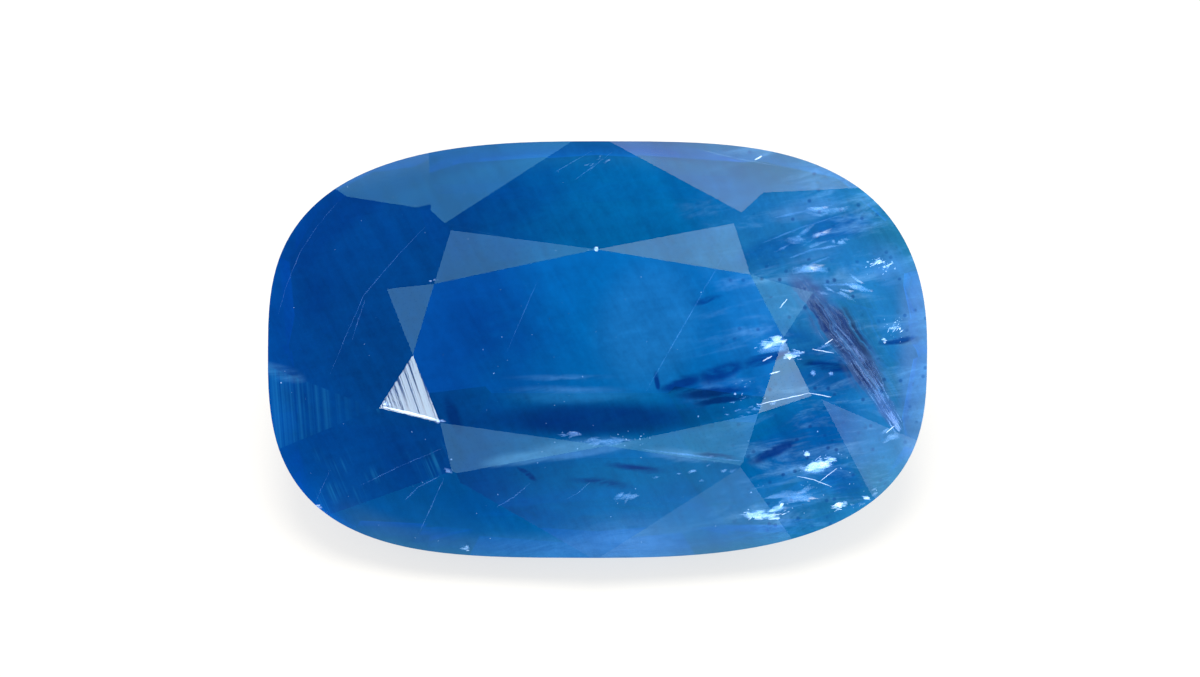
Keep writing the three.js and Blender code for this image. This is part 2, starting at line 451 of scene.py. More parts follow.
veilStrokes = {
    "grain": (0.25, 0.62), "share": 0.85,
    "strokes": [
        {"from": (555, 542), "to": (690, 534), "half": 0.38, "share": 0.62},
        {"from": (430, 545), "to": (740, 546), "half": 0.22, "share": 0.45},
        {"from": (478, 463), "to": (575, 449), "half": 0.10},
        {"from": (520, 454), "to": (640, 442), "half": 0.15},
        {"from": (640, 449), "to": (740, 461), "half": 0.09},
        {"from": (500, 377), "to": (625, 377), "half": 0.05, "share": 0.5},
        {"from": (497, 389), "to": (640, 389), "half": 0.06, "share": 0.5},
        {"from": (258, 366), "to": (302, 378), "half": 0.10},
        {"from": (765, 218), "to": (842, 203), "half": 0.16},
        {"from": (790, 262), "to": (842, 248), "half": 0.14},
        {"from": (815, 285), "to": (850, 290), "half": 0.16},
        {"from": (880, 250), "to": (905, 290), "half": 0.25},
    ],
}
veinGround = {
    "grain": (0.25, 0.50), "share": 0.9,
    "strokes": [
        {"from": (795, 276), "to": (822, 314), "half": 0.20},
        {"from": (815, 308), "to": (850, 345), "half": 0.26},
        {"from": (842, 336), "to": (880, 395), "half": 0.26},
        {"from": (872, 385), "to": (900, 432), "half": 0.13},
    ],
}
veinDark = {
    "grain": (0.40, 0.56), "share": 0.92,
    "strokes": [
        {"from": (810, 302), "to": (832, 332), "half": 0.16},
        {"from": (832, 318), "to": (862, 356), "half": 0.26},
        {"from": (850, 350), "to": (880, 392), "half": 0.17},
    ],
}


def pictureSpot(column, row):
    # a pixel as a place on the cutting frame's plane in mm
    return (column - photo["stoneColumn"]) * photo["pixel"], (photo["stoneRow"] - row) * photo["pixel"]


def strongest(masks):
    total = masks[0]
    for mask in masks[1:]:
        total = total.maths("MAXIMUM", total, mask)
    return total


def strokes(desk, plane, group):
    # 1 along the middle of every stroke of a group, fading out as an ellipse does
    masks = []
    for stroke in group["strokes"]:
        x0, v0 = pictureSpot(*stroke["from"])
        x1, v1 = pictureSpot(*stroke["to"])
        half = stroke["half"]
        local = desk.node("ShaderNodeMapping", {"vector_type": "TEXTURE"}, {
            "Vector": plane,
            "Location": Vector(((x0 + x1) / 2, (v0 + v1) / 2, 0)),
            "Rotation": Vector((0, 0, math.atan2(v1 - v0, x1 - x0))),
            "Scale": Vector((math.hypot(x1 - x0, v1 - v0) / 2 + half, half * strokeShape["wide"], 1))})
        near = desk.node("ShaderNodeTexGradient", {"gradient_type": "SPHERICAL"}, {"Vector": local}, 1)
        if "share" in stroke:
            near = near * stroke["share"]
        masks.append(near)
    return strongest(masks).eased(0.0, strokeShape["full"])


def brokenStrokes(desk, plane, noise, group):
    # strokes torn by a noise
    return strokes(desk, plane, group) * noise.eased(*group["grain"]) * group["share"]


def evenStrokes(desk, plane, noise, group):
    # strokes with a little of a noise in them
    return strokes(desk, plane, group) * (group["even"] + noise * group["silk"])


def layPaintedGlow(desk, fields):
    # the painted glow's broad colours and the rim's
    paintedGlow = colour("paintedGlowLeft")
    for layer in paintedGlowLayers:
        cover = layer.get("share", 1.0)
        for field, start, full in layer["edges"]:
            cover = fields[field].eased(start, full) * cover
        paintedGlow = desk.mixColours(cover, paintedGlow, colour(layer["colour"]))
    return paintedGlow


def paintedSilkGlow(desk, x, v):
    # how brightly the painted glow, which stands in for the light the silk scatters, shines at each place, with
    # painted shade and everything that is only colour
    plane = desk.node("ShaderNodeCombineXYZ", {}, {"X": x, "Y": v})
    drift = desk.cloud(plane, clouds["drift"]) - 0.5
    # silk lies in streaks that rise a little to the right
    slope = silkLie["slope"]
    silkPlane = desk.node("ShaderNodeCombineXYZ", {}, {
        "X": (x + v * slope) * silkLie["drawnOut"], "Y": v - x * slope})
    silkGrain = desk.cloud(silkPlane, clouds["silk"])
    along = x + drift * push["along"]
    torn = desk.node("ShaderNodeCombineXYZ", {}, {
        "X": x + drift * push["torn"], "Y": v + (silkGrain - 0.5) * push["tornUp"]})
    outX = (x * (1 / sapphire["halfLength"])) ** 2
    outV = (v * (1 / sapphire["halfWidth"])) ** 2
    cushion = outX ** 1.5 + outV ** 1.5  # reaches 1 at the corners too
    paintedGlow = layPaintedGlow(desk, {"x": x, "v": v, "along": along, "oval": outX + outV, "cushion": cushion})
    paintedGlow = desk.mixColours(evenStrokes(desk, torn, silkGrain, glowStrokes), paintedGlow, colour("paintedGlowRight"))
    paintedGlow = desk.mixColours(brokenStrokes(desk, torn, silkGrain, deepStrokes), paintedGlow, colour("deep"))
    # milky streaks of brighter painted glow
    milkyGlow = silkGrain.eased(*milkyGlowStreaks["silk"]) * along.eased(*milkyGlowStreaks["along"]) * milkyGlowStreaks["share"]
    paintedGlow = desk.mixColours(milkyGlow, paintedGlow, colour("milkyGlow"))
    paintedGlow = desk.mixColours(brokenStrokes(desk, torn, silkGrain, veilStrokes), paintedGlow, colour("veil"))
    # painted shade: the shade strokes and the belly's shade darken the glow over the left end, along the belly
    # and in thin wisps
    dark = brokenStrokes(desk, torn, silkGrain, shadeStrokes)
    belly = evenStrokes(desk, plane, silkGrain, bellyShade)
    paintedGlow = desk.mixColours(strongest([dark, belly.clamped()]), paintedGlow, colour("shade"))
    # fibres of the vein run down and to the right
    fibreX, fibreV = fibreLie["across"]
    fibre = desk.cloud(x * fibreX + v * fibreV + drift * fibreLie["waver"], clouds["fibre"], "1D")
    paintedGlow = desk.mixColours(brokenStrokes(desk, torn, fibre, veinGround), paintedGlow, colour("veinGround"))
    paintedGlow = desk.mixColours(brokenStrokes(desk, torn, fibre, veinDark), paintedGlow, colour("veinDark"))
    # small dark grains, most of them to the right
    cells = desk.node("ShaderNodeTexVoronoi", {"feature": "F1", "voronoi_dimensions": "2D"}, {
        "Vector": plane, "Scale": grains["scale"]})
    dots = cells.eased(*grains["size"]) * along.eased(*grains["along"]) * silkGrain.eased(*grains["silk"])
    paintedGlow = desk.mixColours(dots * grains["share"], paintedGlow, colour("shade"))
    # growth bands lean to the right; they are faint
    bandX, bandV = bandLie["across"]
    bandPlane = desk.node("ShaderNodeCombineXYZ", {}, {
        "X": x * bandX + v * bandV, "Y": (v * bandX - x * bandV) * bandLie["drawnOut"]})
    bands = desk.cloud(bandPlane, clouds["bands"])
    mottle = desk.cloud(plane, clouds["mottle"])
    ripple = ripples["even"]
    for noise, name in ((silkGrain, "silk"), (bands, "bands"), (mottle, "mottle")):
        ripple = noise * ripples[name] + ripple
    return desk.node("ShaderNodeVectorMath", {"operation": "SCALE"}, {0: paintedGlow, "Scale": ripple})


def colour(name):
    return (*sapphire[name], 1)


def sapphireMaterial():
    paint = bpy.data.materials.new("sapphireCrystal")
    desk = Desk(paint)
    place = desk.node("ShaderNodeTexCoord", output="Object")
    x = desk.dot(place, Vector((1, 0, 0))) * (1 / mm)
    v = desk.dot(place, turned(0, 1, 0)) * (1 / mm) - girdleRise
    paintedGlow = paintedSilkGlow(desk, x, v)
    lines = {}
    for name, facet in polished.items():
        step = x * facet["across"][0] + v * facet["across"][1]
        stripe = desk.cloud(step, {"Scale": facet["fine"], **polishLines}, "1D")
        lines[name] = stripe * desk.mark(name)
    patches = desk.cloud(place, polishPatches, "3D")
    breaks, mains, stars = scoresAndGlints["break"], scoresAndGlints["main"], scoresAndGlints["star"]
    fading = 1 - x.eased(*breaks["fade"]) * breaks["faded"]
    scored = lines["breakLines"].eased(*breaks["line"]) * fading * (breaks["least"] + patches)
    inPatches = patches.eased(*mains["patch"]) * mains["share"]
    scored = scored + lines["mainLines"].eased(*mains["line"]) * inPatches
    paintedGlow = desk.mixColours(scored.clamped() * scoresAndGlints["share"], paintedGlow, colour("streak"))
    # painted highlight: the star facet's polish lines glint brighter
    paintedGlow = desk.mixColours(lines["starLines"].eased(*stars["line"]) * stars["share"], paintedGlow, colour("glint"))
    bump = desk.node("ShaderNodeBump", {}, {
        "Strength": scoresAndGlints["strength"], "Distance": scoresAndGlints["groove"] * mm,
        "Height": lines["starLines"] + lines["breakLines"]})
    # the crystal's surface emits the painted glow, in place of the light its silk scatters
    crystal = desk.node("ShaderNodeBsdfPrincipled", sockets={
        "Base Color": (1, 1, 1, 1), "Roughness": 0.0, "IOR": sapphireIndex, "Transmission Weight": 1.0,
        "Emission Color": paintedGlow, "Emission Strength": 1.0, "Normal": bump})
    body = desk.node("ShaderNodeVolumeAbsorption", sockets={
        "Color": colour("tint"), "Density": float(sapphire["absorb"])})
    desk.node("ShaderNodeOutputMaterial", sockets={"Surface": crystal, "Volume": body})
    return paint


def facetAngles(normal):
    # a scene normal as tilt and bearing in the cutting frame
    x, v, h = (normal.dot(turned(*axis)) for axis in ((1, 0, 0), (0, 1, 0), (0, 0, 1)))
    return math.degrees(math.acos(max(-1, min(1, h)))), math.degrees(math.atan2(v, x))


def dressStone():
    # the part's own solid with worn edges; the plain shape is kept to place the inclusions by
    shape = bmesh.new()
    shape.from_mesh(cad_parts["sapphire"].data)
    bmesh.ops.remove_doubles(shape, verts=shape.verts, dist=sapphire["weld"] * mm)
    bmesh.ops.dissolve_limit(shape, angle_limit=math.radians(sapphire["flat"]),
                             verts=shape.verts, edges=shape.edges)
    plain = shape.copy()
    worn = [e for e in shape.edges
            if len(e.link_faces) == 2 and e.calc_face_angle(0) > math.radians(sapphire["sharp"])]
    bmesh.ops.bevel(shape, geom=worn, offset=sapphire["edge"] * mm, offset_type="OFFSET",
                    segments=1, profile=0.5, affect="EDGES", clamp_overlap=True)
    bmesh.ops.recalc_face_normals(shape, faces=shape.faces)
    mesh = bpy.data.meshes.new("facetedSapphire")
    shape.to_mesh(mesh)
    shape.free()
    for name, facet in polished.items():
        marks = mesh.attributes.new(name, "FLOAT", "FACE")
        for i, face in enumerate(mesh.polygons):
            tilt, bearing = facetAngles(face.normal)
            nearTilt = abs(tilt - facet["tilt"]) < sapphire["matchTilt"]
            nearBearing = abs(bearing - facet["bearing"]) < sapphire["matchBearing"]
            marks.data[i].value = 1.0 if nearTilt and nearBearing else 0.0
    stone = put("facetedSapphire", mesh)
    mesh.materials.append(sapphireMaterial())
    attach(stone, "root")
    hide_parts("sapphire")
    return plain


skin = BVHTree.FromBMesh(dressStone())
print("stone dressed")

# Inclusions are placed by where the photograph shows them, on the sight line that the facet in front bends
deepest = 0.7  # as a share of the way through the crystal
justInside = 0.001  # mm


def bend(ray, normal):
    # the way a ray goes on inside the crystal
    ratio = 1 / sapphireIndex
    facing = -ray.dot(normal)
    inside = math.sqrt(max(0, 1 - ratio * ratio * (1 - facing * facing)))
    return (ray * ratio + normal * (ratio * facing - inside)).normalized()


def sightPoint(column, row, depth):
    # the point at a depth in mm under the surface that shows at a pixel, and the way back to the eye from it
    step = cameraSet["viewWidth"] / photo["columns"]
    aim = laid(cameraSet["across"] + (column - photo["columns"] / 2) * step,
               cameraSet["along"] + (photo["rows"] / 2 - row) * step, 0)
    ray = (aim - cameraSpot).normalized()
    hit, normal, _, _ = skin.ray_cast(cameraSpot, ray)
    if hit is None:
        return None, None
    inner = bend(ray, normal)
    end, _, _, room = skin.ray_cast(hit + inner * justInside * mm, inner)
    reach = min(depth * mm, deepest * room) if end is not None else depth * mm
    return hit + inner * reach, -inner


def inclusionPiece(name, shape, paint):
    mesh = bpy.data.meshes.new(name)
    bmesh.ops.recalc_face_normals(shape, faces=shape.faces)
    shape.to_mesh(mesh)
    shape.free()
    piece = put(name, mesh)
    mesh.materials.append(paint)
    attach(piece, "root")


# How every inclusion's look is broken up and eased off
inclusionCloud = {"Detail": 5.0, "Roughness": 0.68, "Distortion": 0.6}
inclusionEase = {"shade": (0.35, 0.65), "rim": (0.0, 0.3), "glow": 0.15}


def inclusionMaterial(name, look):
    # core is 1 in the middle of an inclusion and 0 at its rim, so that it fades out
    paint = bpy.data.materials.new(name)
    desk = Desk(paint)
    place = desk.node("ShaderNodeTexCoord", output="Object")
    drawn = desk.node("ShaderNodeVectorMath", {"operation": "MULTIPLY"}, {0: place, 1: Vector(look["drawn"])})
    grain = desk.cloud(drawn, {"Scale": look["scale"], **inclusionCloud}, "3D")
    core = desk.mark("core")
    shade = desk.mixColours(grain.eased(*inclusionEase["shade"]), (*look["dark"], 1), (*look["pale"], 1))
    lift = grain + core * look["rim"]
    cover = lift.eased(look["from"], look["to"]) * core.eased(*inclusionEase["rim"]) * look["alpha"]
    # painted glow: every inclusion emits light in place of the light it would catch
    shine = lift.eased(look["from"], look["to"] + inclusionEase["glow"])
    glow = desk.mixColours(shine, (*look["dim"], 1), (*look["glow"], 1))
    flake = desk.node("ShaderNodeBsdfPrincipled", sockets={
        "Base Color": shade, "Roughness": look["roughness"], "Alpha": cover,
        "Emission Color": glow, "Emission Strength": 1.0})
    desk.node("ShaderNodeOutputMaterial", sockets={"Surface": flake})
    return paint


# How a crack and a needle are shaped; uneven and swell are drawn by chance between two shares
flakeShape = {"corners": 11, "uneven": (0.6, 1.25), "shoulder": 0.5, "swell": (0.6, 1.2), "shoulderCore": 0.6}
threadShape = {"uneven": (0.8, 1.2), "flat": 0.4}


def addFlake(shape, centre, facing, size, slim, thick, chance, turn=None):
    # one crack as an uneven lens: two rings of points between a front and a back
    core = shape.verts.layers.float.get("core") or shape.verts.layers.float.new("core")
    if turn is None:
        turn = chance.uniform(0, 2 * math.pi)
    right = (Vector((1, 0, 0)) - facing * facing.x).normalized()
    side = Matrix.Rotation(turn, 3, facing) @ right
    other = facing.cross(side)
    count = flakeShape["corners"]
    swell = flakeShape["swell"]
    reaches = [chance.uniform(*flakeShape["uneven"]) for _ in range(count)]
    ring, front, back = [], [], []
    for i, reach in enumerate(reaches):
        angle = 2 * math.pi * i / count
        out = (side * math.cos(angle) + other * math.sin(angle) * slim) * size * reach
        inner = centre + out * flakeShape["shoulder"]
        ring.append(shape.verts.new(centre + out))
        front.append(shape.verts.new(inner + facing * thick * chance.uniform(*swell)))
        back.append(shape.verts.new(inner - facing * thick * chance.uniform(*swell)))
    top = shape.verts.new(centre + facing * thick)
    bottom = shape.verts.new(centre - facing * thick)
    for verts, weight in ((ring, 0.0), (front + back, flakeShape["shoulderCore"]), ((top, bottom), 1.0)):
        for vert in verts:
            vert[core] = weight
    for i in range(count):
        j = (i + 1) % count
        shape.faces.new((ring[i], ring[j], front[j], front[i]))
        shape.faces.new((front[i], front[j], top))
        shape.faces.new((ring[j], ring[i], back[i], back[j]))
        shape.faces.new((back[j], back[i], bottom))


def addThread(shape, way, width, chance):
    # a drawn-out needle through several points, pointed at both ends
    core = shape.verts.layers.float.get("core") or shape.verts.layers.float.new("core")
    points = [p for p, _ in way]
    rings = []
    for i, (point, facing) in enumerate(way):
        ahead = (points[min(i + 1, len(points) - 1)] - points[max(i - 1, 0)]).normalized()
        side = ahead.cross(facing).normalized()
        share = math.sin(math.pi * (i + 0.5) / len(way)) ** 0.5
        half = width * mm / 2 * share * chance.uniform(*threadShape["uneven"])
        deep = facing * half * threadShape["flat"]
        ring = [shape.verts.new(point + o) for o in (side * half, deep, -side * half, -deep)]
        for vert, weight in zip(ring, (0.0, 1.0, 0.0, 1.0)):
            vert[core] = weight * share
        rings.append(ring)
    for a, b in zip(rings, rings[1:]):
        for j in range(4):
            shape.faces.new((a[j], a[(j + 1) % 4], b[(j + 1) % 4], b[j]))
    shape.faces.new(rings[0])
    shape.faces.new(list(reversed(rings[-1])))


def pixelPath(ends, steps, depth, waver, chance):
    # a path of sight points through pixels, wavering a little
    way = []
    for (c0, r0), (c1, r1) in zip(ends, ends[1:]):
        for i in range(steps):
            t = i / steps
            way.append((c0 + (c1 - c0) * t + chance.uniform(-waver, waver),
                        r0 + (r1 - r0) * t + chance.uniform(-waver, waver)))
    way.append(ends[-1])
    found = [sightPoint(c, r, depth) for c, r in way]
    return [f for f in found if f[0] is not None]


# Feathers: cracks and healed cracks that shine white with a painted glow. at and spread are in pixels, size is
# in mm, slim is how narrow they are, turn the way they lie in degrees; bristles are fine needles round a
# cluster
brightClusters = [
    {"at": (771, 343), "spread": (8, 3), "count": 5, "size": 0.17, "slim": 0.28, "turn": 12, "bristles": 14},
    {"at": (794, 355), "spread": (5, 3), "count": 5, "size": 0.12, "slim": 0.4, "turn": 10, "bristles": 12},
    {"at": (876, 264), "spread": (7, 4), "count": 5, "size": 0.055, "slim": 0.5, "turn": 30, "bristles": 8},
    {"at": (885, 268), "spread": (5, 4), "count": 4, "size": 0.05, "slim": 0.6, "turn": 60},
    {"at": (897, 328), "spread": (3, 5), "count": 4, "size": 0.075, "slim": 0.5, "turn": 60, "bristles": 8},
    {"at": (885, 340), "spread": (4, 2), "count": 2, "size": 0.06, "slim": 0.5},
    {"at": (821, 464), "spread": (9, 4), "count": 7, "size": 0.19, "slim": 0.28, "turn": 14, "bristles": 16},
    {"at": (807, 454), "spread": (2, 2), "count": 2, "size": 0.06, "slim": 0.7, "turn": 60},
    {"at": (832, 460), "spread": (3, 2), "count": 2, "size": 0.08, "slim": 0.5, "turn": -30},
    {"at": (760, 515), "spread": (12, 3), "count": 7, "size": 0.19, "slim": 0.24, "turn": 8, "bristles": 14},
    {"at": (777, 508), "spread": (6, 4), "count": 4, "size": 0.13, "slim": 0.35, "turn": 30, "bristles": 8},
    {"at": (841, 505), "spread": (5, 2), "count": 5, "size": 0.11, "slim": 0.5, "turn": 15, "bristles": 8},
    {"at": (866, 498), "spread": (4, 1), "count": 3, "size": 0.08, "slim": 0.5},
    {"at": (595, 248), "spread": (6, 2), "count": 6, "size": 0.028, "slim": 0.6},
    {"at": (434, 280), "spread": (7, 1), "count": 5, "size": 0.026, "slim": 0.6},
    {"at": (387, 404), "spread": (2, 1), "count": 5, "size": 0.065, "slim": 0.8, "turn": 40},
    {"at": (443, 421), "spread": (5, 1), "count": 4, "size": 0.045, "slim": 0.6},
    {"at": (466, 548), "spread": (3, 2), "count": 6, "size": 0.06, "slim": 0.8},
    {"at": (783, 345), "spread": (1, 3), "count": 3, "size": 0.05, "slim": 0.3, "turn": 90},
    {"at": (319, 506), "spread": (1, 1), "count": 2, "size": 0.05, "slim": 0.8},
]
paleClusters = [
    {"at": (813, 373), "spread": (0.4, 0.4), "count": 4, "size": 0.045, "slim": 1.0},
    {"at": (831, 374), "spread": (0.4, 0.4), "count": 4, "size": 0.045, "slim": 1.0},
    {"at": (790, 497), "spread": (16, 5), "count": 7, "size": 0.30, "slim": 0.28, "turn": 14},
    {"at": (765, 512), "spread": (10, 4), "count": 3, "size": 0.26, "slim": 0.35, "turn": 10},
    {"at": (815, 470), "spread": (8, 4), "count": 4, "size": 0.22, "slim": 0.4, "turn": 10},
    {"at": (772, 345), "spread": (12, 5), "count": 4, "size": 0.20, "slim": 0.4, "turn": 10},
    {"at": (626, 497), "spread": (8, 3), "count": 6, "size": 0.10, "slim": 0.4, "turn": 35},
    {"at": (812, 268), "spread": (20, 6), "count": 8, "size": 0.24, "slim": 0.22, "turn": 14},
    {"at": (800, 238), "spread": (26, 10), "count": 9, "size": 0.28, "slim": 0.16, "turn": 16},
    {"at": (820, 212), "spread": (24, 6), "count": 8, "size": 0.26, "slim": 0.18, "turn": 12},
    {"at": (842, 288), "spread": (18, 7), "count": 9, "size": 0.17, "slim": 0.22, "turn": -12},
    {"at": (846, 240), "spread": (10, 5), "count": 4, "size": 0.06, "slim": 0.6},
    {"at": (570, 434), "spread": (24, 2), "count": 9, "size": 0.09, "slim": 0.3, "turn": 5},
    {"at": (606, 441), "spread": (26, 3), "count": 9, "size": 0.16, "slim": 0.22},
    {"at": (447, 470), "spread": (5, 2), "count": 4, "size": 0.05, "slim": 0.6},
    {"at": (590, 160), "spread": (16, 8), "count": 8, "size": 0.06, "slim": 0.3, "turn": 40},
    {"at": (832, 348), "spread": (14, 5), "count": 5, "size": 0.09, "slim": 0.25, "turn": 8},
    {"at": (890, 438), "spread": (12, 10), "count": 6, "size": 0.10, "slim": 0.4, "turn": 30},
    {"at": (700, 470), "spread": (40, 12), "count": 10, "size": 0.07, "slim": 0.4, "turn": 10},
    {"at": (740, 410), "spread": (45, 10), "count": 12, "size": 0.06, "slim": 0.35, "turn": 10},
    {"at": (860, 500), "spread": (25, 12), "count": 10, "size": 0.06, "slim": 0.5, "turn": 10},
]
feathers = {
    "seed": 11,
    "depth": (0.02, 0.10),
    "scatter": 0.5,  # how far cracks lie from the middle, as a share of spread
    "lean": 0.25,
    "sizes": (0.6, 1.3),
    "slims": (0.7, 1.3),
    "turns": 12,  # degrees
    "thick": 0.05,  # as a share of size
    "brightLook": {"scale": 13000.0, "drawn": (0.25, 1, 1), "dark": (0.5, 0.7, 0.95), "pale": (1, 1, 1),
                   "rim": 0.07, "from": 0.46, "to": 0.68, "alpha": 1.0, "dim": (0.05, 0.15, 0.34),
                   "glow": (0.95, 0.95, 0.97), "roughness": 0.3},
    "paleLook": {"scale": 6000.0, "drawn": (0.25, 1, 1), "dark": (0.35, 0.55, 0.85), "pale": (0.8, 0.88, 1.0),
                 "rim": 0.20, "from": 0.44, "to": 0.84, "alpha": 0.45, "dim": (0.01, 0.05, 0.14),
                 "glow": (0.16, 0.22, 0.34), "roughness": 0.4},
}
# reach and waver are in pixels, width is in mm
bristles = {"scatter": 0.8, "turns": 14, "reach": (1.5, 5.5), "width": (0.010, 0.022), "waver": 0.15,
            "steps": 3}


def scatter(cluster, spread, chance):
    # a pixel near a cluster's middle
    return [m + chance.gauss(0, spread) * r for m, r in zip(cluster["at"], cluster["spread"])]


def addCrack(shape, cluster, chance):
    column, row = scatter(cluster, feathers["scatter"], chance)
    centre, facing = sightPoint(column, row, chance.uniform(*feathers["depth"]))
    if centre is None:
        return
    lean = feathers["lean"]
    tipped = (facing + Vector(chance.uniform(-lean, lean) for _ in range(3))).normalized()
    size = cluster["size"] * chance.uniform(*feathers["sizes"]) * mm
    turn = math.radians(cluster.get("turn", 0) + chance.gauss(0, feathers["turns"]))
    slim = cluster["slim"] * chance.uniform(*feathers["slims"])
    addFlake(shape, centre, tipped, size, slim, feathers["thick"] * size, chance, turn)


def addBristle(shape, cluster, chance):
    column, row = scatter(cluster, bristles["scatter"], chance)
    slope = math.radians(cluster.get("turn", 0) + chance.gauss(0, bristles["turns"]))
    reach = chance.uniform(*bristles["reach"])
    right, up = reach * math.cos(slope), reach * math.sin(slope)
    ends = [(column - right, row + up), (column + right, row - up)]
    way = pixelPath(ends, bristles["steps"], chance.uniform(*feathers["depth"]), bristles["waver"], chance)
    if len(way) > 1:
        addThread(shape, way, chance.uniform(*bristles["width"]), chance)


def growFeathers(name, clusters, look, seed):
    chance = random.Random(seed)
    shape = bmesh.new()
    for cluster in clusters:
        for _ in range(cluster["count"]):
            addCrack(shape, cluster, chance)
        for _ in range(cluster.get("bristles", 0)):
            addBristle(shape, cluster, chance)
    inclusionPiece(name, shape, inclusionMaterial(name + "Crack", look))


growFeathers("whiteFeathers", brightClusters, feathers["brightLook"], feathers["seed"])
growFeathers("paleFeathers", paleClusters, feathers["paleLook"], feathers["seed"] + 1)
print("feathers grown")

# Silk and growth lines: long thin needles. path in pixels, depth and width in mm
silk = {
    "seed": 23,
    "steps": 6,
    "waver": 0.25,
    "faint": [
        {"path": [(645.6, 391.8), (686, 322), (724.8, 253.2)], "depth": 0.12, "width": 0.020},
        {"path": [(507, 352), (524, 312), (540, 275)], "depth": 0.12, "width": 0.014},
        {"path": [(341, 198), (318, 225), (300, 252), (287, 284), (278, 314)], "depth": 0.06, "width": 0.016},
        {"path": [(365, 299), (352, 340)], "depth": 0.05, "width": 0.018},
        {"path": [(434, 218), (398, 255), (364, 295), (345, 338), (329, 377)], "depth": 0.08, "width": 0.014},
        {"path": [(443.6, 448), (400, 466), (359, 486)], "depth": 0.05, "width": 0.016},
        {"path": [(444, 478), (432, 505), (419, 533)], "depth": 0.05, "width": 0.018},
        {"path": [(640, 449), (690, 455), (742, 461)], "depth": 0.04, "width": 0.04},
        {"path": [(497, 507), (514, 497), (530, 483)], "depth": 0.04, "width": 0.022},
        {"path": [(565, 500), (578, 493), (590, 482)], "depth": 0.04, "width": 0.018},
        {"path": [(405, 500), (418, 487), (440, 476)], "depth": 0.04, "width": 0.022},
        {"path": [(300, 520), (316, 500), (330, 470)], "depth": 0.04, "width": 0.014},
        {"path": [(775, 218), (800, 212), (832, 205)], "depth": 0.05, "width": 0.05},
        {"path": [(762, 243), (800, 228), (838, 216)], "depth": 0.05, "width": 0.04},
        {"path": [(790, 258), (812, 250), (836, 246)], "depth": 0.05, "width": 0.045},
        {"path": [(797, 272), (815, 262), (830, 257)], "depth": 0.05, "width": 0.05},
        {"path": [(820, 285), (850, 284), (872, 292)], "depth": 0.05, "width": 0.04},
        {"path": [(700, 150), (745, 160), (790, 168)], "depth": 0.05, "width": 0.03},
        {"path": [(555, 172), (592, 151)], "depth": 0.04, "width": 0.02},
        {"path": [(575, 180), (612, 152)], "depth": 0.04, "width": 0.02},
    ],
    "bright": [
        {"path": [(383, 407), (410, 413), (438, 420)], "depth": 0.015, "width": 0.035},
        {"path": [(757, 405), (783, 399), (809, 393)], "depth": 0.015, "width": 0.014},
        {"path": [(809, 393), (831, 397)], "depth": 0.015, "width": 0.014},
        {"path": [(837, 468), (828, 475), (818, 483)], "depth": 0.05, "width": 0.012},
        {"path": [(797, 476), (815, 480), (832, 487)], "depth": 0.05, "width": 0.010},
        {"path": [(770, 374), (780, 371)], "depth": 0.03, "width": 0.02},
        {"path": [(763, 361), (772, 356)], "depth": 0.03, "width": 0.025},
        {"path": [(812, 349), (834, 353)], "depth": 0.04, "width": 0.014},
        {"path": [(825, 344), (833, 339)], "depth": 0.04, "width": 0.018},
        {"path": [(886, 433), (894, 426)], "depth": 0.04, "width": 0.018},
        {"path": [(780, 308), (787, 299)], "depth": 0.03, "width": 0.018},
        {"path": [(755, 160), (762, 156)], "depth": 0.02, "width": 0.03},
    ],
    "faintLook": {"scale": 3000.0, "drawn": (1, 1, 1), "dark": (0.2, 0.45, 0.9), "pale": (0.45, 0.65, 1.0),
                  "rim": 0.3, "from": 0.30, "to": 1.1, "alpha": 0.30, "dim": (0.01, 0.05, 0.16),
                  "glow": (0.06, 0.13, 0.28), "roughness": 0.5},
    "brightLook": {"scale": 9000.0, "drawn": (1, 1, 1), "dark": (0.8, 0.9, 1.0), "pale": (1, 1, 1),
                   "rim": 0.5, "from": 0.30, "to": 0.7, "alpha": 0.95, "dim": (0.2, 0.3, 0.42),
                   "glow": (0.6, 0.6, 0.62), "roughness": 0.25},
}


def drawSilk(name, threads, look):
    chance = random.Random(silk["seed"])
    shape = bmesh.new()
    for thread in threads:
        way = pixelPath(thread["path"], silk["steps"], thread["depth"], silk["waver"], chance)
        if len(way) > 1:
            addThread(shape, way, thread["width"], chance)
    inclusionPiece(name, shape, inclusionMaterial(name + "Silk", look))


drawSilk("growthLines", silk["faint"], silk["faintLook"])
drawSilk("brightScratches", silk["bright"], silk["brightLook"])
print("silk drawn")

# The fibrous vein through the right end
vein = {
    "seed": 5,
    "path": [(800, 284), (814, 306), (831, 326), (850, 347), (864, 368), (878, 391), (890, 411), (901, 430)],
    "half": [5, 8, 12, 11, 9, 8, 7, 6],  # pixels either side, at each point of the path
    "sideways": (0.75, -0.66),  # the way across the path, in columns and rows
    "depth": (0.03, 0.14),  # mm
    "lane": {"spread": 0.55, "most": 1.2, "waver": 0.15},
    "steps": 4,
    "waver": 0.6,
    "brown": {"first": 0, "last": 5, "count": 58, "width": (0.02, 0.055)},
    "pale": {"first": 2, "last": 7, "count": 46, "width": (0.015, 0.04)},
    "brownLook": {"scale": 5200.0, "drawn": (1, 1, 1), "dark": (0.03, 0.05, 0.11), "pale": (0.15, 0.21, 0.36),
                  "rim": 0.25, "from": 0.42, "to": 0.95, "alpha": 0.45, "dim": (0.01, 0.03, 0.08),
                  "glow": (0.07, 0.085, 0.13), "roughness": 0.7},
    "paleLook": {"scale": 5200.0, "drawn": (1, 1, 1), "dark": (0.25, 0.45, 0.75), "pale": (0.7, 0.8, 1.0),
                 "rim": 0.25, "from": 0.50, "to": 1.0, "alpha": 0.6, "dim": (0.03, 0.08, 0.20),
                 "glow": (0.16, 0.20, 0.30), "roughness": 0.6},
}


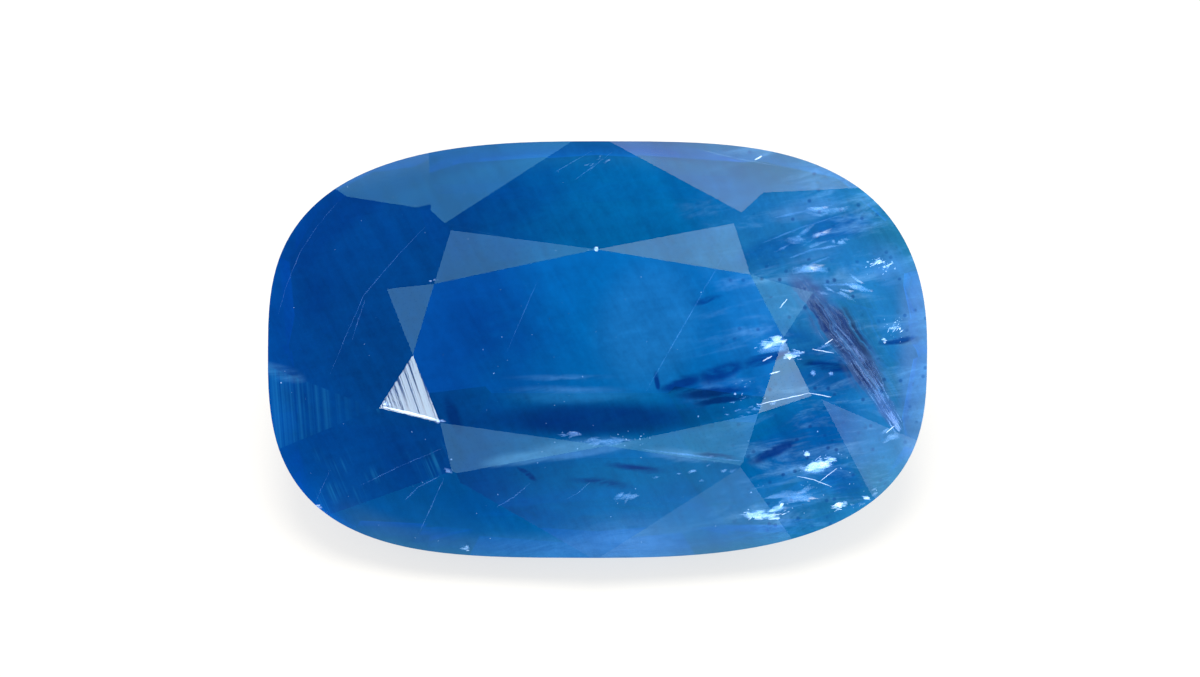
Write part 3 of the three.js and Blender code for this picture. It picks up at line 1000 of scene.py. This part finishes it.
def runVein(name, bundle, look, seed):
    chance = random.Random(seed)
    shape = bmesh.new()
    lanes = vein["lane"]
    across, down = vein["sideways"]
    for _ in range(bundle["count"]):
        first = chance.randint(bundle["first"], bundle["last"] - 1)
        last = min(bundle["last"], first + chance.randint(1, 3))
        lane = max(-lanes["most"], min(lanes["most"], chance.gauss(0, lanes["spread"])))
        ends = []
        for i in range(first, last + 1):
            column, row = vein["path"][i]
            off = vein["half"][i] * (lane + chance.uniform(-lanes["waver"], lanes["waver"]))
            ends.append((column + off * across, row + off * down))
        way = pixelPath(ends, vein["steps"], chance.uniform(*vein["depth"]), vein["waver"], chance)
        if len(way) > 1:
            addThread(shape, way, chance.uniform(*bundle["width"]), chance)
    inclusionPiece(name, shape, inclusionMaterial(name + "Fibre", look))


runVein("brownVein", vein["brown"], vein["brownLook"], vein["seed"])
runVein("paleVein", vein["pale"], vein["paleLook"], vein["seed"] + 1)
print("vein run")

# Specks: tiny crystals, most of them in the right end. from and to are the corners of a zone in pixels, and
# size is in mm
specks = {
    "seed": 47,
    "usual": 0.85,  # this share is of the size given, the others are larger
    "larger": 1.9,
    "slim": (0.5, 1.0),
    "thick": 0.6,
    "zones": [
        {"from": (745, 160), "to": (925, 540), "pale": 110, "dark": 120, "size": (0.005, 0.012)},
        {"from": (600, 430), "to": (880, 552), "pale": 60, "dark": 60, "size": (0.005, 0.011)},
        {"from": (866, 257), "to": (896, 276), "pale": 18, "dark": 4, "size": (0.006, 0.015)},
        {"from": (733, 378), "to": (772, 406), "pale": 14, "dark": 8, "size": (0.005, 0.012)},
        {"from": (884, 316), "to": (903, 346), "pale": 14, "dark": 4, "size": (0.006, 0.013)},
        {"from": (800, 450), "to": (850, 488), "pale": 18, "dark": 6, "size": (0.005, 0.013)},
        {"from": (545, 430), "to": (650, 446), "pale": 16, "dark": 2, "size": (0.005, 0.011)},
        {"from": (735, 480), "to": (880, 515), "pale": 26, "dark": 10, "size": (0.005, 0.012)},
        {"from": (280, 160), "to": (600, 545), "pale": 60, "dark": 40, "size": (0.004, 0.009)},
        {"from": (450, 240), "to": (745, 430), "pale": 18, "dark": 14, "size": (0.004, 0.008)},
    ],
    "depth": (0.01, 0.12),
    "paleLook": {"scale": 2000.0, "drawn": (1, 1, 1), "dark": (0.6, 0.8, 1.0), "pale": (1, 1, 1),
                 "rim": 0.3, "from": 0.2, "to": 0.7, "alpha": 0.6, "dim": (0.03, 0.10, 0.22),
                 "glow": (0.22, 0.30, 0.42), "roughness": 0.4},
    "darkLook": {"scale": 2000.0, "drawn": (1, 1, 1), "dark": (0.0, 0.02, 0.08), "pale": (0.0, 0.05, 0.16),
                 "rim": 0.3, "from": 0.2, "to": 0.5, "alpha": 0.9, "dim": (0, 0, 0),
                 "glow": (0, 0, 0.02), "roughness": 0.5},
}


def sowSpecks(name, kind, look):
    chance = random.Random(specks["seed"] + len(kind))
    shape = bmesh.new()
    for zone in specks["zones"]:
        for _ in range(zone[kind]):
            column = chance.uniform(zone["from"][0], zone["to"][0])
            row = chance.uniform(zone["from"][1], zone["to"][1])
            centre, facing = sightPoint(column, row, chance.uniform(*specks["depth"]))
            size = chance.uniform(*zone["size"]) * mm
            size = size if chance.random() < specks["usual"] else size * specks["larger"]
            if centre is not None:
                slim = chance.uniform(*specks["slim"])
                addFlake(shape, centre, facing, size, slim, specks["thick"] * size, chance)
    inclusionPiece(name, shape, inclusionMaterial(name + "Crystal", look))


sowSpecks("paleSpecks", "pale", specks["paleLook"])
sowSpecks("darkSpecks", "dark", specks["darkLook"])
print("specks sown")

# Enough bounces for light to cross the crystal and the inclusions in it
scene = bpy.context.scene
scene.view_settings.view_transform = "Standard"
scene.cycles.max_bounces = 10
scene.cycles.transmission_bounces = 10
scene.cycles.glossy_bounces = 8
scene.cycles.transparent_max_bounces = 16
